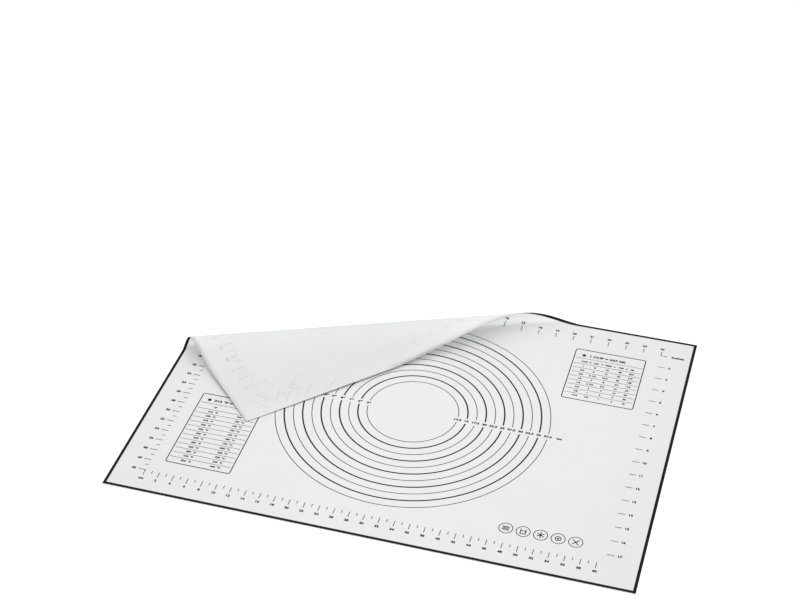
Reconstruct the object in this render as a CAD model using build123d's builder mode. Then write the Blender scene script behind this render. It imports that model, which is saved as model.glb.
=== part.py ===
from build123d import *
import os
from math import acos, atan2, ceil, cos, degrees, hypot, radians, sin, sqrt

# A silicone baking and rolling mat that lies flat with its back left corner folded over.
# X runs to the right, Y to the back and Z up. The origin is the middle of the underside.

# The silicone sheet
mat_width = 700.0
mat_depth = 500.0
sheet_thickness = 0.8

# The printed silicone ink, which stands on the sheet as a film
ink_thickness = 0.1

# The folded corner. Each length runs along an edge of the sheet from the folded corner to the
# line where the sheet leaves the table, or to the line where the turned flap is straight again.
lift_on_left_edge = 218.0
lift_on_back_edge = 536.7
landing_on_left_edge = 113.9
landing_on_back_edge = 229.5
recurve_share = 0.377
tip_clearance = 0.3

# The black band along the rim
border_width = 4.0

# Rulers: the margins run from the sheet's edges to the ends of the rulers, which hold as many
# whole centimetres and inches as there is room for
left_margin = 44.5
right_margin = 45.7
front_margin = 39.2
back_margin = 37.8
centimetre = 10.0
inch = 25.4
tick_width = 0.9
major_tick = 10.0
minor_tick = 5.0
inch_tick = 9.4

# Rings for rolling dough to a size
smallest_ring = 125.0
ring_step = 25.0
ring_clearance = 12.0
thin_ring_line = 1.0
thick_ring_line = 2.0
ring_label_gap = 11.2

# Conversion tables: one beside the rulers' front left corner, the other beside their back right one
table_line = 1.3
table_corner = 3.0
rule_line = 0.6
rule_inset = 2.2
heat_table_left_gap = 18.4
heat_table_front_gap = 23.0
heat_table_width = 89.4
heat_table_depth = 143.2
heat_title_height = 18.1
heat_heading_height = 11.9
heat_row_pitch = 9.25
heat_rows = 12
volume_table_right_gap = 18.1
volume_table_back_gap = 17.5
volume_table_width = 99.4
volume_table_depth = 108.9
volume_title_height = 18.9
volume_heading_height = 12.1
volume_row_pitch = 9.29
volume_rows = 8

# How finely the bend is worked out: creases of the sheet, and straight facets of a loft through it
crease_count = 200
bend_section_count = 40
tick_section_count = 5
ring_section_turn = 2.5
search_steps = 40
least_turn = 160.0
most_turn = 210.0
quarter_turn = 90.0
cutter_height = 2.0

left_x = -mat_width / 2
front_y = -mat_depth / 2
back_y = mat_depth / 2
ruler_x = left_x + left_margin
ruler_y = front_y + front_margin
room_to_right = mat_width - left_margin - right_margin
room_to_back = mat_depth - front_margin - back_margin
front_centimetres = int(room_to_right / centimetre)
back_inches = int(room_to_right / inch)
left_centimetres = int(room_to_back / centimetre)
right_inches = int(room_to_back / inch)
back_ruler_length = back_inches * inch
right_ruler_top = room_to_back
neutral_height = sheet_thickness / 2
film_height = sheet_thickness + ink_thickness / 2

lift_left_y = back_y - lift_on_left_edge
lift_back_x = left_x + lift_on_back_edge
landing_left_y = back_y - landing_on_left_edge
landing_back_x = left_x + landing_on_back_edge

# The flat sheet: what stays on the table, what is lifted, and the straight flap at its end
table_outline = [
    (left_x, front_y),
    (-left_x, front_y),
    (-left_x, back_y),
    (lift_back_x, back_y),
    (left_x, lift_left_y),
]
lifted_outline = [(left_x, lift_left_y), (lift_back_x, back_y), (left_x, back_y)]
flap_outline = [(left_x, landing_left_y), (landing_back_x, back_y), (left_x, back_y)]


def crease_ends(share):
    """The two ends of the straight line that crosses the corner at a share of the bend."""
    on_left = lift_left_y + (landing_left_y - lift_left_y) * share
    on_back = lift_back_x + (landing_back_x - lift_back_x) * share
    return Vector(left_x, on_left), Vector(on_back, back_y)


def crease_frames(first_turn):
    """Where each strip of the sheet goes: the bend is a row of small turns about its creases.

    The turning rate falls evenly from first_turn at the table to a slight turn back at the flap.
    """
    frames = [Location()]
    for crease in range(crease_count):
        share = (crease + 0.5) / crease_count
        start, end = crease_ends(share)
        along = (end - start).normalized()
        turn = first_turn * (1 - share - recurve_share * share) / crease_count
        pivot = Location((start.X, start.Y, neutral_height))
        frames.append(frames[-1] * pivot * Location((0, 0, 0), tuple(along), turn) * pivot.inverse())
    return frames


def tip_height(first_turn):
    """The height of the folded corner's tip, at the middle of the sheet's thickness."""
    tip = crease_frames(first_turn)[-1] * Location((left_x, back_y, neutral_height))
    return tip.position.Z


def resting_turn():
    """The first turn that lets the printed tip lie just above the print below it."""
    rest_height = neutral_height + sheet_thickness + 2 * ink_thickness + tip_clearance
    low = 2 * least_turn / (1 - recurve_share)
    high = 2 * most_turn / (1 - recurve_share)
    for _ in range(search_steps):
        middle = (low + high) / 2
        if tip_height(middle) > rest_height:
            low = middle
        else:
            high = middle
    return (low + high) / 2


frames = crease_frames(resting_turn())


def bend_share(x, y):
    """How far through the bend a point of the flat sheet lies: 0 on the table, 1 on the flap."""
    run_x = landing_back_x - lift_back_x
    run_y = landing_left_y - lift_left_y
    reach = lift_back_x - left_x
    rise = back_y - lift_left_y
    at_lift = reach * (y - lift_left_y) - rise * (x - left_x)
    at_landing = (reach + run_x) * (y - lift_left_y - run_y) - (rise - run_y) * (x - left_x)
    if at_lift <= 0:
        return 0
    if at_landing >= 0:
        return 1
    square = -run_x * run_y
    slope = at_landing - at_lift - square
    return 2 * at_lift / (sqrt(slope * slope - 4 * square * at_lift) - slope)


def bent(x, y, height, heading=0):
    """The place on the folded sheet of a point of the flat sheet, with local X along heading."""
    strip = int(bend_share(x, y) * crease_count + 0.5)
    return frames[strip] * Location((x, y, height), heading)


def cross_section(x, y, height, heading, breadth, thickness):
    """A rectangle that stands across a run of sheet or film at a point of the flat sheet."""
    place = Plane(bent(x, y, height, heading))
    with BuildSketch(Plane(place.origin, x_dir=place.y_dir, z_dir=place.x_dir)) as section:
        Rectangle(breadth, thickness)
    return section.sketch


def heading_of(direction):
    """The heading of a direction on the flat sheet, in degrees from X towards Y."""
    return degrees(atan2(direction.Y, direction.X))


def strip_sections(height, thickness, left_trim, right_trim):
    """Sections along the creases of the bend, between two shares of each crease's length."""
    sections = []
    for step in range(bend_section_count + 1):
        start, end = crease_ends(step / bend_section_count)
        along = (end - start).normalized()
        near = start + along * left_trim(start, end)
        far = end - along * right_trim(start, end)
        middle = (near + far) / 2
        across = heading_of(along) + quarter_turn
        breadth = (far - near).length
        sections.append(cross_section(middle.X, middle.Y, height, across, breadth, thickness))
    return sections


def no_trim(start, end):
    """The crease is kept to its end at the sheet's edge."""
    return 0


def left_border_run(start, end):
    """The length of crease within the left border."""
    return border_width * (end - start).length / (end.X - start.X)


def back_border_run(start, end):
    """The length of crease within the back border."""
    return border_width * (end - start).length / (end.Y - start.Y)


def all_but_left_border(start, end):
    """The length of crease from the left border to the back edge."""
    return (end - start).length - left_border_run(start, end)


def all_but_back_border(start, end):
    """The length of crease from the left edge to the back border."""
    return (end - start).length - back_border_run(start, end)


def raised_strokes(lines, width):
    """The film of printed lines on the lifted sheet, each along points given as x, y and heading."""
    with BuildPart() as strokes:
        for line in lines:
            loft([cross_section(*point[:2], film_height, point[2], width, cutter_height) for point in line])
        add(lifted_film.part, mode=Mode.INTERSECT)
    return strokes.part


def tick_points(x, y, heading, length):
    """Points along a straight tick that starts at x, y."""
    along_x = length * cos(radians(heading))
    along_y = length * sin(radians(heading))
    shares = [step / (tick_section_count - 1) for step in range(tick_section_count)]
    return [(x + along_x * share, y + along_y * share, heading) for share in shares]


def ruler_ticks(ticks):
    """The ticks of one ruler, each given as x, y, heading and length from the rulers' corner."""
    with BuildPart() as ruler:
        with BuildSketch(Plane.XY.offset(sheet_thickness)):
            for x, y, heading, length in ticks:
                middle_x = ruler_x + x + length / 2 * cos(radians(heading))
                middle_y = ruler_y + y + length / 2 * sin(radians(heading))
                with Locations(Location((middle_x, middle_y), heading)):
                    Rectangle(length, tick_width)
            Polygon(*lifted_outline, align=None, mode=Mode.SUBTRACT)
        extrude(amount=ink_thickness)
        lines = [tick_points(ruler_x + x, ruler_y + y, heading, length) for x, y, heading, length in ticks]
        lifted = [line for line in lines if max(bend_share(x, y) for x, y, _ in line) > 0]
        if lifted:
            add(raised_strokes(lifted, tick_width))
    return ruler


os.makedirs("parts", exist_ok=True)

# The sheet: its flat floor, the bend and the turned flap in one piece of silicone
with BuildPart() as silicone_sheet:
    with BuildSketch(Plane.XY):
        Polygon(*table_outline, align=None)
    extrude(amount=sheet_thickness)
    with BuildSketch(Plane(frames[-1])):
        Polygon(*flap_outline, align=None)
    extrude(amount=sheet_thickness)
    loft(strip_sections(neutral_height, sheet_thickness, no_trim, no_trim), ruled=True)
silicone_sheet.part.label = "silicone_sheet"
export_step(silicone_sheet.part, "parts/silicone_sheet.step")

# The layer that all print on the lifted corner is part of
with BuildPart() as lifted_film:
    with BuildSketch(Plane(frames[-1]).offset(sheet_thickness)):
        Polygon(*flap_outline, align=None)
    extrude(amount=ink_thickness)
    loft(strip_sections(film_height, ink_thickness, no_trim, no_trim), ruled=True)

# The black band on the rim, which goes round the bend and under the flap with the sheet
with BuildPart() as border_band:
    with BuildSketch(Plane.XY.offset(sheet_thickness)):
        Rectangle(mat_width, mat_depth)
        Rectangle(mat_width - 2 * border_width, mat_depth - 2 * border_width, mode=Mode.SUBTRACT)
        Polygon(*lifted_outline, align=None, mode=Mode.SUBTRACT)
    extrude(amount=ink_thickness)
    with BuildSketch(Plane(frames[-1]).offset(sheet_thickness)):
        Rectangle(mat_width, mat_depth)
        Rectangle(mat_width - 2 * border_width, mat_depth - 2 * border_width, mode=Mode.SUBTRACT)
        Polygon(*flap_outline, align=None, mode=Mode.INTERSECT)
    extrude(amount=ink_thickness)
    loft(strip_sections(film_height, ink_thickness, no_trim, all_but_left_border), ruled=True)
    loft(strip_sections(film_height, ink_thickness, all_but_back_border, no_trim), ruled=True)
border_band.part.label = "border_band"
export_step(border_band.part, "parts/border_band.step")

# The rulers: centimetres in front and on the left, inches on the right and at the back
towards_front = -quarter_turn
towards_left = 2 * quarter_turn
towards_back = quarter_turn
towards_right = 0


def centimetre_tick(mark):
    """Every second centimetre has a long tick."""
    return minor_tick if mark % 2 else major_tick


# Where two rulers meet, one tick covers the corner and the other starts beside it
half_tick = tick_width / 2
front_ticks = [(0, -half_tick, towards_front, major_tick - half_tick)]
left_ticks = [(half_tick, 0, towards_left, major_tick + half_tick)]
right_ticks = [(back_ruler_length - half_tick, right_ruler_top, towards_right, inch_tick + half_tick)]
back_ticks = [(back_ruler_length, right_ruler_top + half_tick, towards_back, inch_tick - half_tick)]
for mark in range(1, front_centimetres + 1):
    front_ticks.append((mark * centimetre, 0, towards_front, centimetre_tick(mark)))
for mark in range(1, left_centimetres + 1):
    left_ticks.append((0, mark * centimetre, towards_left, centimetre_tick(mark)))
for mark in range(1, right_inches + 1):
    right_ticks.append((back_ruler_length, right_ruler_top - mark * inch, towards_right, inch_tick))
for mark in range(back_inches):
    back_ticks.append((mark * inch, right_ruler_top, towards_back, inch_tick))
rulers = {
    "front_centimetre_ruler": ruler_ticks(front_ticks),
    "left_centimetre_ruler": ruler_ticks(left_ticks),
    "right_inch_ruler": ruler_ticks(right_ticks),
    "back_inch_ruler": ruler_ticks(back_ticks),
}
for name, ruler in rulers.items():
    ruler.part.label = name
    export_step(ruler.part, f"parts/{name}.step")

# The tables' places from the rulers' corner
volume_table_left = back_ruler_length - volume_table_right_gap - volume_table_width
volume_table_front = right_ruler_top - volume_table_back_gap - volume_table_depth
heat_place = (heat_table_left_gap, heat_table_front_gap, heat_table_width, heat_table_depth)
volume_place = (volume_table_left, volume_table_front, volume_table_width, volume_table_depth)

# The rings, broken on both sides for their labels; the largest ones climb the bend. They lie in the
# middle of the rulers, and grow until they come near a ruler or the corner of a table.
ring_centre_x = back_ruler_length / 2
ring_centre_y = left_centimetres * centimetre / 2
ring_middle_x = ruler_x + ring_centre_x
ring_middle_y = ruler_y + ring_centre_y
to_heat_table = hypot(
    ring_centre_x - heat_table_left_gap - heat_table_width,
    ring_centre_y - heat_table_front_gap - heat_table_depth,
)
to_volume_table = hypot(volume_table_left - ring_centre_x, volume_table_front - ring_centre_y)
ring_room = min(ring_centre_x, ring_centre_y, to_heat_table, to_volume_table) - ring_clearance
ring_count = 1 + int((2 * ring_room - smallest_ring) / ring_step)
lift_start, lift_end = crease_ends(0)
lift_along = (lift_end - lift_start).normalized()
lift_heading = heading_of(lift_along) + quarter_turn
to_lift = lift_start - Vector(ring_middle_x, ring_middle_y)
lift_distance = lift_along.X * to_lift.Y - lift_along.Y * to_lift.X

for index in range(ring_count):
    diameter = smallest_ring + index * ring_step
    radius = diameter / 2
    line = thick_ring_line if index % 2 else thin_ring_line
    outer = radius + line / 2
    half_turn = degrees(acos(min(1, lift_distance / outer)))
    with BuildPart() as size_ring:
        with BuildSketch(Plane.XY.offset(sheet_thickness)):
            with Locations((ring_middle_x, ring_middle_y)):
                Circle(outer)
                Circle(radius - line / 2, mode=Mode.SUBTRACT)
                Rectangle(2 * diameter, ring_label_gap, mode=Mode.SUBTRACT)
            Polygon(*lifted_outline, align=None, mode=Mode.SUBTRACT)
        extrude(amount=ink_thickness)
        if half_turn > 0:
            steps = ceil(2 * half_turn / ring_section_turn)
            points = []
            for step in range(steps + 1):
                turn = lift_heading - half_turn + 2 * half_turn * step / steps
                x = ring_middle_x + radius * cos(radians(turn))
                y = ring_middle_y + radius * sin(radians(turn))
                points.append((x, y, turn + quarter_turn))
            add(raised_strokes([points], line))
    name = f"size_ring_{diameter:.0f}"
    size_ring.part.label = name
    export_step(size_ring.part, f"parts/{name}.step")


def table_centre(left, front, width, depth):
    """The middle of a table that is placed from the rulers' corner."""
    return ruler_x + left + width / 2, ruler_y + front + depth / 2


def table_frame(left, front, width, depth):
    """The rounded outline of a table."""
    with BuildPart() as frame:
        with BuildSketch(Plane.XY.offset(sheet_thickness)):
            with Locations(table_centre(left, front, width, depth)):
                half = table_line / 2
                RectangleRounded(width + table_line, depth + table_line, table_corner + half)
                RectangleRounded(
                    width - table_line, depth - table_line, table_corner - half, mode=Mode.SUBTRACT
                )
        extrude(amount=ink_thickness)
    return frame


def table_rules(left, front, width, depth, title, heading, pitch, rows):
    """The thin lines under a table's title, its heading and each row but the last."""
    with BuildPart() as rules:
        top = ruler_y + front + depth
        heights = [top - title, top - title - heading]
        heights += [top - title - heading - row * pitch for row in range(1, rows)]
        with BuildSketch(Plane.XY.offset(sheet_thickness)):
            for height in heights:
                with Locations((ruler_x + left + width / 2, height)):
                    Rectangle(width - 2 * rule_inset, rule_line)
        extrude(amount=ink_thickness)
    return rules


# The oven heat table at the front left and the volume table at the back right
heat_rows_laid = (heat_title_height, heat_heading_height, heat_row_pitch, heat_rows)
volume_rows_laid = (volume_title_height, volume_heading_height, volume_row_pitch, volume_rows)
tables = {
    "heat_table_frame": table_frame(*heat_place),
    "heat_table_rules": table_rules(*heat_place, *heat_rows_laid),
    "volume_table_frame": table_frame(*volume_place),
    "volume_table_rules": table_rules(*volume_place, *volume_rows_laid),
}
for name, table in tables.items():
    table.part.label = name
    export_step(table.part, f"parts/{name}.step")
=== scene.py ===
from math import cos, pi, radians, sin

import bmesh
import bpy
import numpy as np
from bpy.props import FloatProperty, FloatVectorProperty, PointerProperty
from bpy.types import Operator, Panel, PropertyGroup
from mathutils import Matrix, Vector


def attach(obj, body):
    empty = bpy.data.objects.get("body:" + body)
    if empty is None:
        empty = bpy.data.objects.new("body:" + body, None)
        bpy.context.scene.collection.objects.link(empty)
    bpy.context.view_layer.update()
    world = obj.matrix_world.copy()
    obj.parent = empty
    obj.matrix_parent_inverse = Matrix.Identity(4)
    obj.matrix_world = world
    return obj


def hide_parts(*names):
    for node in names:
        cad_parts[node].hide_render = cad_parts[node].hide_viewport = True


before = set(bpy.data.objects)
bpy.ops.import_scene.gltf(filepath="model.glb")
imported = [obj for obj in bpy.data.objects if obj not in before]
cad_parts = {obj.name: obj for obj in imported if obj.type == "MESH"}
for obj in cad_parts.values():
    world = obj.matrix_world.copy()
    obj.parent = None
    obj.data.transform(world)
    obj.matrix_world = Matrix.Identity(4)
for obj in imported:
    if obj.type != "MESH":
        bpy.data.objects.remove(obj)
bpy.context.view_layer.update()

bl_info = {
    "name": "Silicone Baking Mat",
    "version": (1, 0, 0),
    "blender": (4, 5, 0),
    "location": "View3D > Sidebar > Baking Mat",
    "description": "Dresses a folded silicone baking mat with its print, finish and studio",
    "category": "Object",
}

MILLIMETRE = 0.001

# Where the print lies, in millimetres from the rulers' common corner at the front left
RULER_CORNER = (-305.5, -210.8)
INCH = 25.4
INCH_RULER_TOP = 423.0
CENTIMETRES_IN_FRONT = 60
CENTIMETRES_ON_LEFT = 42
INCHES_AT_BACK = 24
INCHES_ON_RIGHT = 16
LONG_TICK = 10.0
SHORT_TICK = 5.0
INCH_TICK = 9.4
TICK_WIDTH = 0.9
RING_CENTRE = (304.8, 210.0)
RING_RADII = [62.5 + 12.5 * step for step in range(11)]

FRONT_NUMBERS_Y = -16.0
LEFT_NUMBERS_X = -16.5
RIGHT_NUMBERS_X = 625.5
INCHES_SIGN_X = 634.0
BACK_NUMBERS_Y = 437.5
RULER_DIGIT = 4.0
RING_DIGIT = 3.9
TABLE_DIGIT = 3.2
TITLE_LETTER = 4.2
HEADING_LETTER = 3.2
RING_WIDENING = 1.15
TITLE_WIDENING = 1.25
INCHES_WIDENING = 1.25
DIGIT_SHARE = 0.69
RING_UNIT_GAP = 15.5
FIRST_RING_INCHES = 5

# The front left table: the title's dot and text, the heading, and rows of Fahrenheit and Celsius
HEAT_DOT = (31.0, 155.0)
TITLE_DOT_RADIUS = 2.65
HEAT_TITLE = ("212 °F = 100 °C", 63.0, 155.0)
HEAT_HEADING_Y = 141.3
HEAT_HEADING_SHIFT = 3.0
HEAT_COLUMNS = (41.0, 82.0)
HEAT_UNITS = (("°F", 49.2), ("°C", 90.2))
HEAT_FIRST_ROW_Y = 131.6
HEAT_ROW_PITCH = 9.25
HEAT_ROWS = [
    (212, 100), (250, 120), (275, 140), (300, 150), (325, 160), (350, 180),
    (375, 190), (400, 200), (425, 220), (450, 230), (475, 240), (500, 260),
]

# The back right table: cups and the smaller measures that they hold
VOLUME_DOT = (505.3, 393.3)
VOLUME_TITLE = ("1 CUP = 237 ML", 539.0, 393.2)
VOLUME_HEADING_Y = 379.6
VOLUME_COLUMNS = (508.8, 525.2, 542.5, 560.7, 576.8)
VOLUME_UNITS = ("CUP", "OZ", "TBSP", "TSP", "ML")
VOLUME_FIRST_ROW_Y = 369.8
VOLUME_ROW_PITCH = 9.29
VOLUME_ROWS = [
    ("1", "8", "16", "48", "237"),
    ("3/4", "6", "12", "36", "177"),
    ("2/3", "5 1/3", "10.6", "32", "158"),
    ("1/2", "4", "8", "24", "118"),
    ("1/3", "2 2/3", "5.3", "16", "79"),
    ("1/4", "2", "4", "12", "59"),
    ("1/8", "1", "2", "6", "30"),
    ("1/16", "1/2", "1", "3", "15"),
]

# The five small rings at the front right, each with a plain figure in it
SYMBOL_RADIUS = 8.9
SYMBOL_LINE = 1.0
FIGURE_LINE = 1.25
SYMBOL_CENTRES = [(477.9 + 22.5 * step, 26.6) for step in range(5)]
WAVE_LIFTS = (-2.6, 0.0, 2.6)
WAVE_REACH = 4.6
WAVE_HEIGHT = 0.8
WAVE_RATE = 1.4
WAVE_POINTS = 13
VESSEL_LINES = [
    ((-3.4, -4.0), (-3.4, 4.2)), ((3.4, -4.0), (3.4, 4.2)),
    ((-3.8, -4.0), (3.8, -4.0)), ((-3.0, 1.2), (3.0, 1.2)),
]
STAR_REACH = 5.2
STAR_LINES = 3
TARGET_RADIUS = 3.6
TARGET_DOT_RADIUS = 1.5
CROSS_REACH = 4.2

# Where the turned corner clings to the mat, what lies below shows through: the rims of the clinging
# patches and stretches of rings. Each is a width and points of the corner, from the rulers' corner.
CLING_MARKS = [
    (1.6, [(-40, 413), (-25, 425), (-10, 442), (-8, 453)]),
    (1.5, [(-24, 423), (-14, 421), (-4, 422), (-3, 429), (-4, 437), (3, 438), (10, 439)]),
    (2.2, [(5, 399), (13, 403), (22, 415)]),
    (2.4, [(7, 449), (16, 435), (25, 422)]),
    (1.6, [(21, 430), (24, 434), (23, 439)]),
    (2.2, [(17, 454), (24, 448), (32, 436), (36, 437)]),
    (4.2, [(35, 429), (41, 425), (48, 420)]),
    (3.2, [(37, 430), (43, 433), (48, 439)]),
    (1.8, [(48, 420), (56, 411), (63, 408)]),
    (1.7, [(33, 453), (43, 444), (50, 440)]),
    (2.9, [(49, 454), (61, 442), (75, 430)]),
    (1.2, [(79, 448), (84, 437)]),
    (1.9, [(83, 455), (94, 448), (107, 441)]),
    (1.2, [(113, 452), (121, 446)]),
]
STROKE_END_SHARE = 0.35
BORDER = 4.0
BORDER_INSET = 0.15
FIRST_LIFTED_CENTIMETRE = 20

# From this share of the bend on, the mat's underside faces up. What shows through lies on it as thin
# patches between two heights, in metres from the flat underside.
TOP_FACING_SHARE = 0.5
SEEN_THROUGH_HEIGHTS = (-0.00004, 0.00002)

# The share of the ink's thickness that is sunk in the silicone, and the longest edge of lifted films
SUNK_SHARE = 0.1
LONGEST_LIFTED_EDGE = 0.0011

# Between these heights in metres the silicone begins to let light through, and it takes a paler tone:
# painted light that brightens the lifted corner, less so near its low tip
LIFTED_HEIGHTS = (0.001, 0.006)
LIFTED_PAINTED_LIGHT_TONE = 0.985

# Noises as scale and detail, and the ranges that are stretched to run from 0 to 1
CLOUD_NOISE, CLOUD_RANGE = (9.0, 3.0), (0.35, 0.65)
SPECK_NOISE, SPECK_RANGE = (260.0, 1.0), (0.70, 0.78)
SPECK_SHARE = 0.25
SPECK_TONE = 0.93
GRAIN_NOISE = (1500.0, 2.0)
WAVE_NOISE = (14.0, 1.0)
SKIN_ROUGHNESS = 0.42
SKIN_GRAIN_ROUGHNESS = 0.12
SKIN_CLOUD_ROUGHNESS = 0.05
SKIN_WAVE_RELIEF = 0.6
SKIN_GRAIN_RELIEF = 0.02
SKIN_RELIEF_DEPTH = 0.0016
SKIN_RELIEF_STRENGTH = 0.35
WEAR_NOISE, WEAR_RANGE = (160.0, 4.0), (0.45, 0.75)
WEAR_SHARE = 0.35
WEAR_TONE = 2.6
INK_NOISE = (2200.0, 2.0)
INK_ROUGHNESS = 0.5
INK_GRAIN_ROUGHNESS = 0.15
INK_RELIEF_DEPTH = 0.00003
INK_RELIEF_STRENGTH = 0.5

FLOOR_DROP = 0.0004
KEY_PLACE = (0.0, 0.02, 0.7)

# The camera, from the perspective of the rulers
CAMERA_PLACE = (0.48734, -1.79880, 1.62283)
CAMERA_RIGHT = (0.96149884, 0.27477344, 0.0044204)
CAMERA_FORWARD = (-0.21530648, 0.76321037, -0.60922332)
CAMERA_LENS = 81.474
CAMERA_SENSOR = 36.0


class SheetSizes(PropertyGroup):
    """The silicone sheet and its folded corner."""

    width: FloatProperty(
        name="Width", description="Size of the flat mat from left to right", default=0.7, unit="LENGTH")
    depth: FloatProperty(
        name="Depth", description="Size of the flat mat from front to back", default=0.5, unit="LENGTH")
    thickness: FloatProperty(
        name="Thickness", description="Thickness of the silicone", default=0.0008, unit="LENGTH")
    lift_on_left: FloatProperty(
        name="Lift on left edge", description="From the corner to where the left edge leaves the table",
        default=0.218, unit="LENGTH")
    lift_on_back: FloatProperty(
        name="Lift on back edge", description="From the corner to where the back edge leaves the table",
        default=0.5367, unit="LENGTH")
    landing_on_left: FloatProperty(
        name="Landing on left edge", description="From the corner to where the bend ends on the left edge",
        default=0.1139, unit="LENGTH")
    landing_on_back: FloatProperty(
        name="Landing on back edge", description="From the corner to where the bend ends on the back edge",
        default=0.2295, unit="LENGTH")
    recurve: FloatProperty(
        name="Turn back", description="Turn back at the end of the bend, as a share of its first turn",
        default=0.377, subtype="FACTOR")
    tip_height: FloatProperty(
        name="Tip height", description="Height of the resting tip, at the middle of its thickness",
        default=0.0017, unit="LENGTH")
    colour: FloatVectorProperty(
        name="Silicone", description="Colour of the clear places of the silicone",
        default=(0.768, 0.777, 0.77), size=3, subtype="COLOR", min=0, max=1)
    cloud: FloatVectorProperty(
        name="Cloud", description="Colour of the silicone where it looks denser",
        default=(0.753, 0.762, 0.755), size=3, subtype="COLOR", min=0, max=1)
    sheer: FloatVectorProperty(
        name="Sheer silicone", description="Colour of the silicone where light comes through it",
        default=(0.97, 1.0, 0.98), size=3, subtype="COLOR", min=0, max=1)
    translucency: FloatProperty(
        name="Translucency",
        description="Share of the light that goes on through a face of the lifted silicone",
        default=0.5, subtype="FACTOR")


class PrintSizes(PropertyGroup):
    """The black print and what shows of it through the silicone."""

    ink: FloatProperty(
        name="Ink thickness", description="Thickness of the printed film", default=0.0001, unit="LENGTH")
    letter_width: FloatProperty(
        name="Letter width", description="Widening of the digits and unit signs",
        default=1.16, subtype="FACTOR")
    letter_weight: FloatProperty(
        name="Letter weight", description="Thickening of the strokes, as a share of the letters' height",
        default=0.055, subtype="FACTOR")
    colour: FloatVectorProperty(
        name="Ink colour", description="Colour of the print",
        default=(0.007, 0.007, 0.008), size=3, subtype="COLOR", min=0, max=1)
    ghost_share: FloatProperty(
        name="Show through",
        description="Share of the silicone's brightness left over print on its other side",
        default=0.83, subtype="FACTOR")
    faint_share: FloatProperty(
        name="Faint", description="The same where the corner stands clear of the mat",
        default=0.95, subtype="FACTOR")
    cling_share: FloatProperty(
        name="Cling marks",
        description="Share of the silicone's brightness left at the rims of clinging patches",
        default=0.91, subtype="FACTOR")


class StageSizes(PropertyGroup):
    """The floor and the studio light."""

    floor_size: FloatProperty(
        name="Floor size", description="Side of the square floor", default=24.0, unit="LENGTH")
    sky: FloatProperty(name="Sky", description="Strength of the even light from all round", default=0.86)
    key: FloatProperty(
        name="Key", description="Power of the large lamp above", default=1.9, unit="POWER")
    key_size: FloatProperty(
        name="Key size", description="Side of the large square lamp above", default=0.9, unit="LENGTH")
    floor_glow: FloatProperty(
        name="Floor glow",
        description="Light that the camera sees the floor give, to keep it white", default=0.22)
    floor_colour: FloatVectorProperty(
        name="Floor colour", description="Colour of the floor",
        default=(0.95, 0.95, 0.95), size=3, subtype="COLOR", min=0, max=1)


class Fold:
    """Carries points of the flat mat to where the folded mat holds them.

    The bend is a row of small turns about straight creases that cross the corner. The turning rate falls
    evenly from the lift line to a slight turn back at the landing line.
    """

    CREASES = 640
    SEARCH_STEPS = 36
    WHOLE_TURNS = (160, 210)

    def __init__(self, sizes):
        self.sizes = sizes
        self.left, self.back = -sizes.width / 2, sizes.depth / 2
        self.lift = np.array(
            [[self.left, self.back - sizes.lift_on_left], [self.left + sizes.lift_on_back, self.back]])
        self.landing = np.array(
            [[self.left, self.back - sizes.landing_on_left], [self.left + sizes.landing_on_back, self.back]])
        low, high = (2 * radians(turn) / (1 - sizes.recurve) for turn in self.WHOLE_TURNS)
        for _ in range(self.SEARCH_STEPS):
            middle = (low + high) / 2
            self.frames = self.turned(middle)
            tip = self.frames[-1] @ np.array([self.left, self.back, sizes.thickness / 2, 1])
            low, high = (middle, high) if tip[2] > sizes.tip_height else (low, middle)

    def crease(self, share):
        """The two ends of the crease at a share of the bend."""
        return self.lift + (self.landing - self.lift) * share

    def turned(self, first_turn):
        """The place of each strip of the bend, as 4 by 4 matrices."""
        place = np.eye(4)
        places = [place]
        for step in range(self.CREASES):
            share = (step + 0.5) / self.CREASES
            start, end = self.crease(share)
            pivot = Vector((*start, self.sizes.thickness / 2))
            turn = first_turn * (1 - share - self.sizes.recurve * share) / self.CREASES
            hinge = Matrix.Translation(pivot) @ Matrix.Rotation(turn, 4, Vector((*(end - start), 0)))
            place = place @ np.array(hinge @ Matrix.Translation(-pivot))
            places.append(place)
        return np.array(places)

    def share(self, points):
        """How far through the bend each flat point lies: 0 on the table, 1 on the flap."""
        run_x = self.landing[1, 0] - self.lift[1, 0]
        run_y = self.landing[0, 1] - self.lift[0, 1]
        reach = self.lift[1, 0] - self.left
        rise = self.back - self.lift[0, 1]
        x, y = points[:, 0] - self.left, points[:, 1] - self.lift[0, 1]
        at_lift = reach * y - rise * x
        at_landing = (reach + run_x) * (y - run_y) - (rise - run_y) * x
        square = -run_x * run_y
        slope = at_landing - at_lift - square
        root = np.sqrt(np.maximum(slope * slope - 4 * square * at_lift, 0)) - slope
        inside = 2 * at_lift / np.where(root == 0, 1, root)
        return np.where(at_lift <= 0, 0, np.where(at_landing >= 0, 1, inside))

    def carry(self, points, height):
        """Where flat points go, at a height above the flat underside."""
        strip = (self.share(points) * self.CREASES + 0.5).astype(int)
        flat = np.column_stack([points, np.full(len(points), height), np.ones(len(points))])
        return np.einsum("nij,nj->ni", self.frames[strip], flat)[:, :3]


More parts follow.
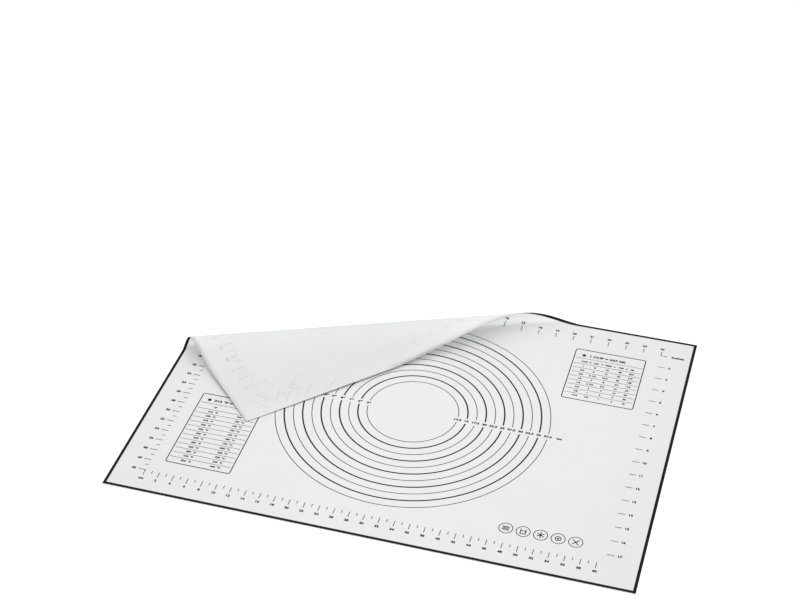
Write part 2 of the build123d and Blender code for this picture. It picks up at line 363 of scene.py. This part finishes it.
class Artwork:
    """Flat outlines in metres on the unfolded mat, ready to become film."""

    def __init__(self):
        self.points, self.faces = [], []

    def add(self, points, faces):
        """Faces over points given in millimetres from the rulers' corner."""
        base = len(self.points)
        for x, y in points:
            self.points.append(((RULER_CORNER[0] + x) * MILLIMETRE, (RULER_CORNER[1] + y) * MILLIMETRE))
        self.faces += [[base + index for index in face] for face in faces]

    def stroke(self, line, width, steps=16):
        """A smoothed line that thins out at both ends."""
        line = np.array(line, float)
        knots = np.linspace(0, 1, len(line))
        shares = np.linspace(0, 1, steps + 1)
        smooth = np.column_stack([np.interp(shares, knots, line[:, axis]) for axis in (0, 1)])
        smooth[1:-1] = (smooth[:-2] + 2 * smooth[1:-1] + smooth[2:]) / 4
        swell = STROKE_END_SHARE + (1 - STROKE_END_SHARE) * np.sin(pi * shares)
        self.band(smooth, width * swell[:, None])

    def band(self, line, width, closed=False):
        """A band of one width, or of a width at each point, along a line of points."""
        line = np.array(line, float)
        step = np.roll(line, -1, 0) - np.roll(line, 1, 0)
        if not closed:
            step[0], step[-1] = line[1] - line[0], line[-1] - line[-2]
        across = np.column_stack([-step[:, 1], step[:, 0]])
        across = across / np.linalg.norm(step, axis=1)[:, None] * width / 2
        count = len(line)
        pairs = [(n, (n + 1) % count) for n in range(count if closed else count - 1)]
        self.add(
            np.vstack([line - across, line + across]), [(a, b, b + count, a + count) for a, b in pairs])

    def arc(self, centre, radius, width, start=0.0, end=2 * pi, count=48):
        """A band along a circle, or along a part of one."""
        closed = end - start >= 2 * pi
        turns = [start + (end - start) * n / (count if closed else count - 1) for n in range(count)]
        self.band([(centre[0] + radius * cos(t), centre[1] + radius * sin(t)) for t in turns], width, closed)

    def disc(self, centre, radius, count=32):
        """A filled circle."""
        turns = [2 * pi * n / count for n in range(count)]
        self.add([(centre[0] + radius * cos(t), centre[1] + radius * sin(t)) for t in turns], [range(count)])

    def text(self, body, x, y, height, sizes, widening=1.0):
        """Digits or a unit sign, centred on a point."""
        curve = bpy.data.curves.new("lettering", "FONT")
        curve.body, curve.dimensions, curve.fill_mode = str(body), "2D", "FRONT"
        curve.align_x, curve.align_y, curve.resolution_u = "CENTER", "CENTER", 3
        curve.size, curve.offset = 1.0, sizes.letter_weight
        writing = bpy.data.objects.new("lettering", curve)
        mesh = writing.to_mesh()
        scale = height / (DIGIT_SHARE + 2 * sizes.letter_weight)
        widening *= sizes.letter_width
        points = [(x + v.co.x * scale * widening, y + v.co.y * scale) for v in mesh.vertices]
        faces = [list(p.vertices) if p.normal.z > 0 else list(p.vertices)[::-1] for p in mesh.polygons]
        self.add(points, faces)
        writing.to_mesh_clear()
        bpy.data.objects.remove(writing)
        bpy.data.curves.remove(curve)

    def mesh(self, fold):
        """The outlines with their doubles merged, and cut finely where the mat is lifted."""
        flat = bmesh.new()
        corners = [flat.verts.new((x, y, 0)) for x, y in self.points]
        for face in self.faces:
            if len(set(face)) > 2:
                flat.faces.new([corners[index] for index in face])
        bmesh.ops.remove_doubles(flat, verts=flat.verts, dist=1e-6)
        while True:
            ends = np.array([[v.co.xy for v in edge.verts] for edge in flat.edges])
            lifted = fold.share(ends.mean(1)) > 0
            long = np.linalg.norm(ends[:, 0] - ends[:, 1], axis=1) > LONGEST_LIFTED_EDGE
            chosen = [edge for edge, cut in zip(flat.edges, lifted & long) if cut]
            if not chosen:
                break
            bmesh.ops.subdivide_edges(flat, edges=chosen, cuts=1)
            bmesh.ops.triangulate(flat, faces=[face for face in flat.faces if len(face.verts) > 4])
        return flat


def slab(name, flat, fold, low, high, smooth=False):
    """A thin closed body over a flat mesh, between two heights, carried round the fold."""
    flat.verts.index_update()
    points = np.array([v.co.xy for v in flat.verts])
    count = len(points)
    faces = [[v.index for v in face.verts] for face in flat.faces]
    sides = []
    for edge in flat.edges:
        if len(edge.link_faces) == 1:
            loop = edge.link_loops[0]
            a, b = loop.vert.index, loop.link_loop_next.vert.index
            sides.append([b, a, a + count, b + count])
    faces += [[index + count for index in reversed(face)] for face in faces]
    mesh = bpy.data.meshes.new(name)
    places = np.vstack([fold.carry(points, high), fold.carry(points, low)])
    mesh.from_pydata(places.tolist(), [], faces + sides)
    mesh.polygons.foreach_set("use_smooth", [smooth] * len(mesh.polygons))
    flat.free()
    piece = bpy.data.objects.new(name, mesh)
    bpy.context.scene.collection.objects.link(piece)
    return piece


class Wire:
    """A number in a material, to which Python's arithmetic adds Math nodes."""

    def __init__(self, recipe, socket):
        self.recipe, self.socket = recipe, socket

    def maths(self, operation, first, second):
        return self.recipe.node("ShaderNodeMath", {"operation": operation}, {0: first, 1: second})

    def __add__(self, other):
        return self.maths("ADD", self, other)

    def __mul__(self, other):
        return self.maths("MULTIPLY", self, other)

    def __rsub__(self, other):
        return self.maths("SUBTRACT", other, self)

    __radd__, __rmul__ = __add__, __mul__


class Recipe:
    """The nodes of one material or of the world, made one by one."""

    def __init__(self, owner):
        owner.use_nodes = True
        self.owner, self.tree = owner, owner.node_tree
        self.tree.nodes.clear()

    def node(self, kind, settings=(), sockets=(), output=0):
        """Adds a node with its settings, feeds its sockets and gives one output."""
        made = self.tree.nodes.new(kind)
        for name, value in dict(settings).items():
            setattr(made, name, value)
        for name, value in dict(sockets).items():
            if isinstance(value, Wire):
                self.tree.links.new(value.socket, made.inputs[name])
            else:
                made.inputs[name].default_value = value
        return Wire(self, made.outputs[output]) if len(made.outputs) else None

    def place(self):
        """The point of the surface, in metres on the object."""
        return self.node("ShaderNodeTexCoord", output="Object")

    def noise(self, scale, detail):
        """Even noise from 0 to 1, in waves of about one over its scale in metres."""
        sockets = {"Vector": self.place(), "Scale": scale, "Detail": detail}
        return self.node("ShaderNodeTexNoise", {"normalize": True}, sockets)

    def ranged(self, value, low, high):
        """A value stretched so that low becomes 0 and high becomes 1."""
        return self.node("ShaderNodeMapRange", {}, {"Value": value, "From Min": low, "From Max": high})

    def mixed(self, share, first, second):
        """Two colours mixed by a share."""
        sockets = {0: share, 6: first, 7: second}
        return self.node("ShaderNodeMix", {"data_type": "RGBA"}, sockets, output=2)

    def bump(self, height, distance, strength):
        """The surface's normal over a height."""
        sockets = {"Height": height, "Distance": distance, "Strength": strength}
        return self.node("ShaderNodeBump", {}, sockets)

    def principled(self, **sockets):
        """A Principled shader with its sockets by name."""
        words = {name.replace("_", " "): value for name, value in sockets.items()}
        return self.node("ShaderNodeBsdfPrincipled", {}, words)

    def ended(self, shader, kind="ShaderNodeOutputMaterial"):
        """The material or world with its surface."""
        self.node(kind, {}, {"Surface": shader})
        return self.owner


def opaque(colour):
    """A colour with full alpha."""
    return (*colour, 1.0)


def silicone(name, sizes, share):
    """Cloudy white silicone, dimmed to a share, that lets light through where it is lifted and is painted
    paler there as painted light.
    """
    recipe = Recipe(bpy.data.materials.new(name))
    tones = (sizes.colour, sizes.cloud, sizes.sheer)
    colour, cloud, sheer = ([share * part for part in tone] for tone in tones)
    height = recipe.node("ShaderNodeSeparateXYZ", {}, {"Vector": recipe.place()}, output="Z")
    lifted = recipe.ranged(height, *LIFTED_HEIGHTS)
    clouds = recipe.ranged(recipe.noise(*CLOUD_NOISE), *CLOUD_RANGE)
    specks = recipe.ranged(recipe.noise(*SPECK_NOISE), *SPECK_RANGE)
    tone = recipe.mixed(clouds, opaque(colour), opaque(cloud))
    tone = recipe.mixed(specks * SPECK_SHARE, tone, opaque([SPECK_TONE * part for part in cloud]))
    # Painted light: where the sheet is lifted, its colour turns paler so that the turned corner looks
    # brighter
    tone = recipe.mixed(lifted, tone, opaque([share * LIFTED_PAINTED_LIGHT_TONE] * 3))
    grain, waves = recipe.noise(*GRAIN_NOISE), recipe.noise(*WAVE_NOISE)
    relief = waves * SKIN_WAVE_RELIEF + grain * SKIN_GRAIN_RELIEF
    roughness = grain * SKIN_GRAIN_ROUGHNESS + clouds * SKIN_CLOUD_ROUGHNESS + SKIN_ROUGHNESS
    skin = recipe.principled(
        Base_Color=tone, Roughness=roughness, Specular_IOR_Level=0.4, IOR=1.41,
        Normal=recipe.bump(relief, SKIN_RELIEF_DEPTH, SKIN_RELIEF_STRENGTH))
    glow = recipe.node("ShaderNodeBsdfTranslucent", {}, {"Color": opaque(sheer)})
    sockets = {0: lifted * sizes.translucency, 1: skin, 2: glow}
    return recipe.ended(recipe.node("ShaderNodeMixShader", {}, sockets))


def silicone_ink(name, colour):
    """Matte black ink with a fine screen-printed grain."""
    recipe = Recipe(bpy.data.materials.new(name))
    worn = recipe.ranged(recipe.noise(*WEAR_NOISE), *WEAR_RANGE)
    tone = recipe.mixed(worn * WEAR_SHARE, opaque(colour), opaque([WEAR_TONE * part for part in colour]))
    grain = recipe.noise(*INK_NOISE)
    return recipe.ended(recipe.principled(
        Base_Color=tone, Roughness=grain * INK_GRAIN_ROUGHNESS + INK_ROUGHNESS,
        Specular_IOR_Level=0.12, IOR=1.42,
        Normal=recipe.bump(grain, INK_RELIEF_DEPTH, INK_RELIEF_STRENGTH)))


def material(name):
    """A finish of the mat by name, made once."""
    if name in bpy.data.materials:
        return bpy.data.materials[name]
    scene = bpy.context.scene
    sheet, ink = scene.mat_sheet, scene.mat_print
    shares = {
        "milky silicone": 1.0,
        "silicone over print": ink.ghost_share,
        "silicone over faint print": ink.faint_share,
        "clinging silicone": ink.cling_share,
    }
    if name in shares:
        return silicone(name, sheet, shares[name])
    return silicone_ink(name, ink.colour)


def finished(piece, finish, slot, *nodes):
    """Gives a piece its finish and its body, and hides the nodes that it stands for."""
    piece.data.materials.clear()
    piece.data.materials.append(material(finish))
    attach(piece, "root")
    if nodes:
        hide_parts(*nodes)
    return piece


def printed(name, artwork, fold):
    """A film of ink on the upper face of the mat."""
    thickness, ink = fold.sizes.thickness, bpy.context.scene.mat_print.ink
    piece = slab(name, artwork.mesh(fold), fold, thickness - ink * SUNK_SHARE, thickness + ink)
    return finished(piece, "black silicone ink", "print")


def current_fold(context):
    """The fold that the present sizes give."""
    return Fold(context.scene.mat_sheet)


class MakeSheet(Operator):
    """Make the silicone sheet with its folded corner"""

    bl_idname = "baking_mat.sheet"
    bl_label = "Silicone Sheet"

    COLUMNS = 110
    FLAP_ROWS = 24
    BEND_ROWS = 160
    TABLE_ROWS = 40

    def execute(self, context):
        sizes = context.scene.mat_sheet
        fold = current_fold(context)
        half_width, half_depth = sizes.width / 2, sizes.depth / 2
        tip = np.array([[-half_width, half_depth]] * 2)
        corners = np.array([[-half_width, -half_depth], [half_width, half_depth]])
        last = np.array([[half_width, -half_depth]] * 2)
        stations = [(tip, fold.landing, self.FLAP_ROWS), (fold.landing, fold.lift, self.BEND_ROWS)]
        stations += [(fold.lift, corners, self.TABLE_ROWS), (corners, last, self.TABLE_ROWS)]
        rows = [tip]
        for start, end, count in stations:
            rows += [start + (end - start) * (n + 1) / count for n in range(count)]
        shares = np.linspace(0, 1, self.COLUMNS + 1)[:, None]
        points = np.vstack([row[0] + (row[1] - row[0]) * shares for row in rows])
        flat = bmesh.new()
        verts = [flat.verts.new((x, y, 0)) for x, y in points]
        across = self.COLUMNS + 1
        for row in range(len(rows) - 1):
            for column in range(self.COLUMNS):
                a = row * across + column
                flat.faces.new([verts[n] for n in (a, a + across, a + across + 1, a + 1)])
        bmesh.ops.remove_doubles(flat, verts=flat.verts, dist=1e-7)
        sheet = slab("silicone_sheet_skin", flat, fold, 0.0, sizes.thickness, smooth=True)
        finished(sheet, "milky silicone", "silicone", "silicone_sheet")
        return {"FINISHED"}


class FinishFilms(Operator):
    """Give the border, rulers, rings and table lines their ink"""

    bl_idname = "baking_mat.films"
    bl_label = "Printed Lines"

    def execute(self, context):
        for name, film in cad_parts.items():
            if name != "silicone_sheet":
                film.data.materials.clear()
                film.data.materials.append(material("black silicone ink"))
        return {"FINISHED"}


def ruler_numbers(sizes):
    """The numbers and units of the four rulers, each as its own artwork."""
    works = {side: Artwork() for side in ("front", "left", "right", "back")}
    works["front"].text("cm", 0, FRONT_NUMBERS_Y, RULER_DIGIT, sizes)
    for mark in range(2, CENTIMETRES_IN_FRONT + 1, 2):
        works["front"].text(mark, 10 * mark, FRONT_NUMBERS_Y, RULER_DIGIT, sizes)
    for mark in range(2, CENTIMETRES_ON_LEFT + 1, 2):
        height = 10 * (CENTIMETRES_ON_LEFT - mark)
        works["left"].text(mark, LEFT_NUMBERS_X, height, RULER_DIGIT, sizes)
    for mark in range(2, INCHES_ON_RIGHT + 2):
        height = INCH_RULER_TOP - INCH * (mark - 1)
        works["right"].text(mark, RIGHT_NUMBERS_X, height, RULER_DIGIT, sizes)
    works["right"].text("inches", INCHES_SIGN_X, INCH_RULER_TOP, RULER_DIGIT, sizes, INCHES_WIDENING)
    for mark in range(INCHES_AT_BACK + 1):
        works["back"].text(mark + 1, INCH * mark, BACK_NUMBERS_Y, RULER_DIGIT, sizes)
    return works


class WriteRulers(Operator):
    """Write the numbers along the four rulers"""

    bl_idname = "baking_mat.ruler_numbers"
    bl_label = "Ruler Numbers"

    def execute(self, context):
        fold = current_fold(context)
        for side, work in ruler_numbers(context.scene.mat_print).items():
            printed(f"{side}_ruler_numbers", work, fold)
        return {"FINISHED"}


class WriteRings(Operator):
    """Write each ring's size in its two gaps"""

    bl_idname = "baking_mat.ring_numbers"
    bl_label = "Ring Numbers"

    def execute(self, context):
        sizes, fold = context.scene.mat_print, current_fold(context)
        centimetres, inches = Artwork(), Artwork()
        x, y = RING_CENTRE
        for index, radius in enumerate(RING_RADII):
            across = f"{2 * radius / 10:g}"
            centimetres.text(across, x + radius, y, RING_DIGIT, sizes, RING_WIDENING)
            across = f"{FIRST_RING_INCHES + index}″"
            inches.text(across, x - radius, y, RING_DIGIT, sizes, RING_WIDENING)
        centimetres.text("cm", x + RING_RADII[-1] + RING_UNIT_GAP, y, RING_DIGIT, sizes, RING_WIDENING)
        printed("ring_numbers_centimetres", centimetres, fold)
        printed("ring_numbers_inches", inches, fold)
        return {"FINISHED"}


class WriteTables(Operator):
    """Write the two conversion tables"""

    bl_idname = "baking_mat.tables"
    bl_label = "Table Numbers"

    def execute(self, context):
        sizes, fold = context.scene.mat_print, current_fold(context)
        heat, volume = Artwork(), Artwork()
        heat.disc(HEAT_DOT, TITLE_DOT_RADIUS)
        heat.text(*HEAT_TITLE, TITLE_LETTER, sizes, TITLE_WIDENING)
        for column, (unit, _) in zip(HEAT_COLUMNS, HEAT_UNITS):
            place = column + HEAT_HEADING_SHIFT
            heat.text(unit, place, HEAT_HEADING_Y, HEADING_LETTER, sizes, TITLE_WIDENING)
        for row, pair in enumerate(HEAT_ROWS):
            height = HEAT_FIRST_ROW_Y - HEAT_ROW_PITCH * row
            for column, degree, (unit, unit_x) in zip(HEAT_COLUMNS, pair, HEAT_UNITS):
                heat.text(degree, column, height, TABLE_DIGIT, sizes)
                heat.text(unit, unit_x, height, TABLE_DIGIT, sizes)
        volume.disc(VOLUME_DOT, TITLE_DOT_RADIUS)
        volume.text(*VOLUME_TITLE, TITLE_LETTER, sizes, TITLE_WIDENING)
        for column, unit in zip(VOLUME_COLUMNS, VOLUME_UNITS):
            volume.text(unit, column, VOLUME_HEADING_Y, HEADING_LETTER, sizes)
        for left, right in zip(VOLUME_COLUMNS, VOLUME_COLUMNS[1:]):
            volume.text("=", (left + right) / 2, VOLUME_HEADING_Y, HEADING_LETTER, sizes)
        for row, values in enumerate(VOLUME_ROWS):
            height = VOLUME_FIRST_ROW_Y - VOLUME_ROW_PITCH * row
            for column, value in zip(VOLUME_COLUMNS, values):
                volume.text(value, column, height, TABLE_DIGIT, sizes)
        printed("heat_table_text", heat, fold)
        printed("volume_table_text", volume, fold)
        return {"FINISHED"}


class DrawSymbols(Operator):
    """Draw the five small rings and a plain figure in each"""

    bl_idname = "baking_mat.symbols"
    bl_label = "Symbols"

    def execute(self, context):
        work = Artwork()
        for centre in SYMBOL_CENTRES:
            work.arc(centre, SYMBOL_RADIUS, SYMBOL_LINE, count=56)
        waves, vessel, star, target, cross = (np.array(centre) for centre in SYMBOL_CENTRES)
        for lift in WAVE_LIFTS:
            steps = np.linspace(-WAVE_REACH, WAVE_REACH, WAVE_POINTS)
            line = [waves + (x, lift + WAVE_HEIGHT * sin(x * WAVE_RATE)) for x in steps]
            work.band(line, FIGURE_LINE)
        for line in VESSEL_LINES:
            work.band([vessel + point for point in line], FIGURE_LINE)
        for step in range(STAR_LINES):
            turn = pi * (step / STAR_LINES + 1 / 2)
            along = STAR_REACH * np.array([cos(turn), sin(turn)])
            work.band([star - along, star + along], FIGURE_LINE)
        work.arc(target, TARGET_RADIUS, FIGURE_LINE, count=28)
        work.disc(target, TARGET_DOT_RADIUS, count=16)
        for side in (-1, 1):
            along = CROSS_REACH * np.array([1, side])
            work.band([cross - along, cross + along], FIGURE_LINE)
        printed("symbol_figures", work, current_fold(context))
        return {"FINISHED"}


def lifted_print(side, sizes):
    """The ticks and numbers of the ruler on one side that the turned corner carries on its lower side."""
    work = ruler_numbers(sizes)[side]
    if side == "left":
        for mark in range(FIRST_LIFTED_CENTIMETRE, CENTIMETRES_ON_LEFT + 1):
            length = SHORT_TICK if mark % 2 else LONG_TICK
            work.band([(0, 10 * mark), (-length, 10 * mark)], TICK_WIDTH)
    else:
        for mark in range(INCHES_AT_BACK):
            x = INCH * mark
            work.band([(x, INCH_RULER_TOP), (x, INCH_RULER_TOP + INCH_TICK)], TICK_WIDTH)
    return work


def border_on_left(fold):
    """The border along the turned corner's left edge."""
    work = Artwork()
    middle = fold.left / MILLIMETRE - RULER_CORNER[0] + BORDER_INSET + BORDER / 2
    end = fold.back / MILLIMETRE - RULER_CORNER[1] - BORDER_INSET
    work.band([(middle, INCH_RULER_TOP / 2), (middle, end)], BORDER)
    return work


def seen_through(name, work, fold, finish):
    """What shows of a print on the reverse of the turned corner."""
    flat = work.mesh(fold)
    middles = np.array([face.calc_center_median().xy for face in flat.faces])
    below = [face for face, share in zip(flat.faces, fold.share(middles)) if share < TOP_FACING_SHARE]
    bmesh.ops.delete(flat, geom=below, context="FACES")
    return finished(slab(name, flat, fold, *SEEN_THROUGH_HEIGHTS), finish, "silicone")


class ShowThrough(Operator):
    """Show the print faintly through the silicone of the turned corner"""

    bl_idname = "baking_mat.show_through"
    bl_label = "Print Seen Through"

    def execute(self, context):
        fold, sizes = current_fold(context), context.scene.mat_print
        left, back = lifted_print("left", sizes), lifted_print("back", sizes)
        seen_through("left_ruler_seen_through", left, fold, "silicone over print")
        seen_through("back_ruler_seen_through", back, fold, "silicone over faint print")
        seen_through("border_seen_through", border_on_left(fold), fold, "clinging silicone")
        marks = Artwork()
        for width, line in CLING_MARKS:
            marks.stroke(line, width)
        seen_through("cling_marks", marks, fold, "clinging silicone")
        return {"FINISHED"}


class MakeStage(Operator):
    """Make the floor, the light and the camera"""

    bl_idname = "baking_mat.stage"
    bl_label = "Stage"

    def execute(self, context):
        scene = context.scene
        stage = scene.mat_stage
        half = stage.floor_size / 2
        mesh = bpy.data.meshes.new("floor")
        corners = [(-half, -half, 0), (half, -half, 0), (half, half, 0), (-half, half, 0)]
        mesh.from_pydata(corners, [], [(0, 1, 2, 3)])
        floor = bpy.data.objects.new("floor", mesh)
        floor.location.z = -FLOOR_DROP
        scene.collection.objects.link(floor)
        recipe = Recipe(bpy.data.materials.new("pale floor"))
        seen = recipe.node("ShaderNodeLightPath", output="Is Camera Ray")
        seen = seen + recipe.node("ShaderNodeLightPath", output="Is Glossy Ray")
        seen = seen + recipe.node("ShaderNodeLightPath", output="Is Transmission Ray")
        plain = recipe.node("ShaderNodeBsdfDiffuse", {}, {"Color": opaque(stage.floor_colour)})
        glow = recipe.node("ShaderNodeEmission", {}, {"Strength": seen * stage.floor_glow})
        both = recipe.node("ShaderNodeAddShader", {}, {0: plain, 1: glow})
        floor.data.materials.append(recipe.ended(both))

        sky = Recipe(bpy.data.worlds.new("studio"))
        seen = sky.node("ShaderNodeLightPath", output="Is Camera Ray")
        strength = seen + (1 - seen) * stage.sky
        light = sky.node(
            "ShaderNodeBackground", {}, {"Color": (1.0, 1.0, 1.0, 1.0), "Strength": strength})
        scene.world = sky.ended(light, "ShaderNodeOutputWorld")

        lamp = bpy.data.lights.new("key", "AREA")
        lamp.size, lamp.energy = stage.key_size, stage.key
        holder = bpy.data.objects.new("key", lamp)
        holder.location = KEY_PLACE
        holder.rotation_euler = (-Vector(KEY_PLACE)).to_track_quat("-Z", "Y").to_euler()
        scene.collection.objects.link(holder)

        camera = bpy.data.cameras.new("camera")
        camera.lens, camera.sensor_width = CAMERA_LENS, CAMERA_SENSOR
        eye = bpy.data.objects.new("camera", camera)
        right, forward = Vector(CAMERA_RIGHT), Vector(CAMERA_FORWARD)
        up = right.cross(forward)
        turned = Matrix((right, up, -forward)).transposed().to_4x4()
        eye.matrix_world = Matrix.Translation(CAMERA_PLACE) @ turned
        scene.collection.objects.link(eye)
        scene.camera = eye
        scene.view_settings.view_transform = "Standard"
        return {"FINISHED"}


class BakingMatPanel(Panel):
    """The steps that dress the mat"""

    bl_idname = "VIEW3D_PT_baking_mat"
    bl_label = "Baking Mat"
    bl_space_type = "VIEW_3D"
    bl_region_type = "UI"
    bl_category = "Baking Mat"

    def draw(self, context):
        for group in (context.scene.mat_sheet, context.scene.mat_print, context.scene.mat_stage):
            box = self.layout.box()
            for name in group.__annotations__:
                box.prop(group, name)
        for step in STEPS:
            self.layout.operator(step.bl_idname)


STEPS = (
    MakeSheet, FinishFilms, WriteRulers, WriteRings, WriteTables, DrawSymbols, ShowThrough, MakeStage,
)
GROUPS = {"mat_sheet": SheetSizes, "mat_print": PrintSizes, "mat_stage": StageSizes}


def register():
    for name, group in GROUPS.items():
        bpy.utils.register_class(group)
        setattr(bpy.types.Scene, name, PointerProperty(type=group))
    for kind in (*STEPS, BakingMatPanel):
        bpy.utils.register_class(kind)


def unregister():
    for kind in (BakingMatPanel, *reversed(STEPS)):
        bpy.utils.unregister_class(kind)
    for name, group in reversed(GROUPS.items()):
        delattr(bpy.types.Scene, name)
        bpy.utils.unregister_class(group)


def main():
    register()
    for step in STEPS:
        group, name = step.bl_idname.split(".")
        getattr(getattr(bpy.ops, group), name)()


if __name__ == "__main__":
    main()
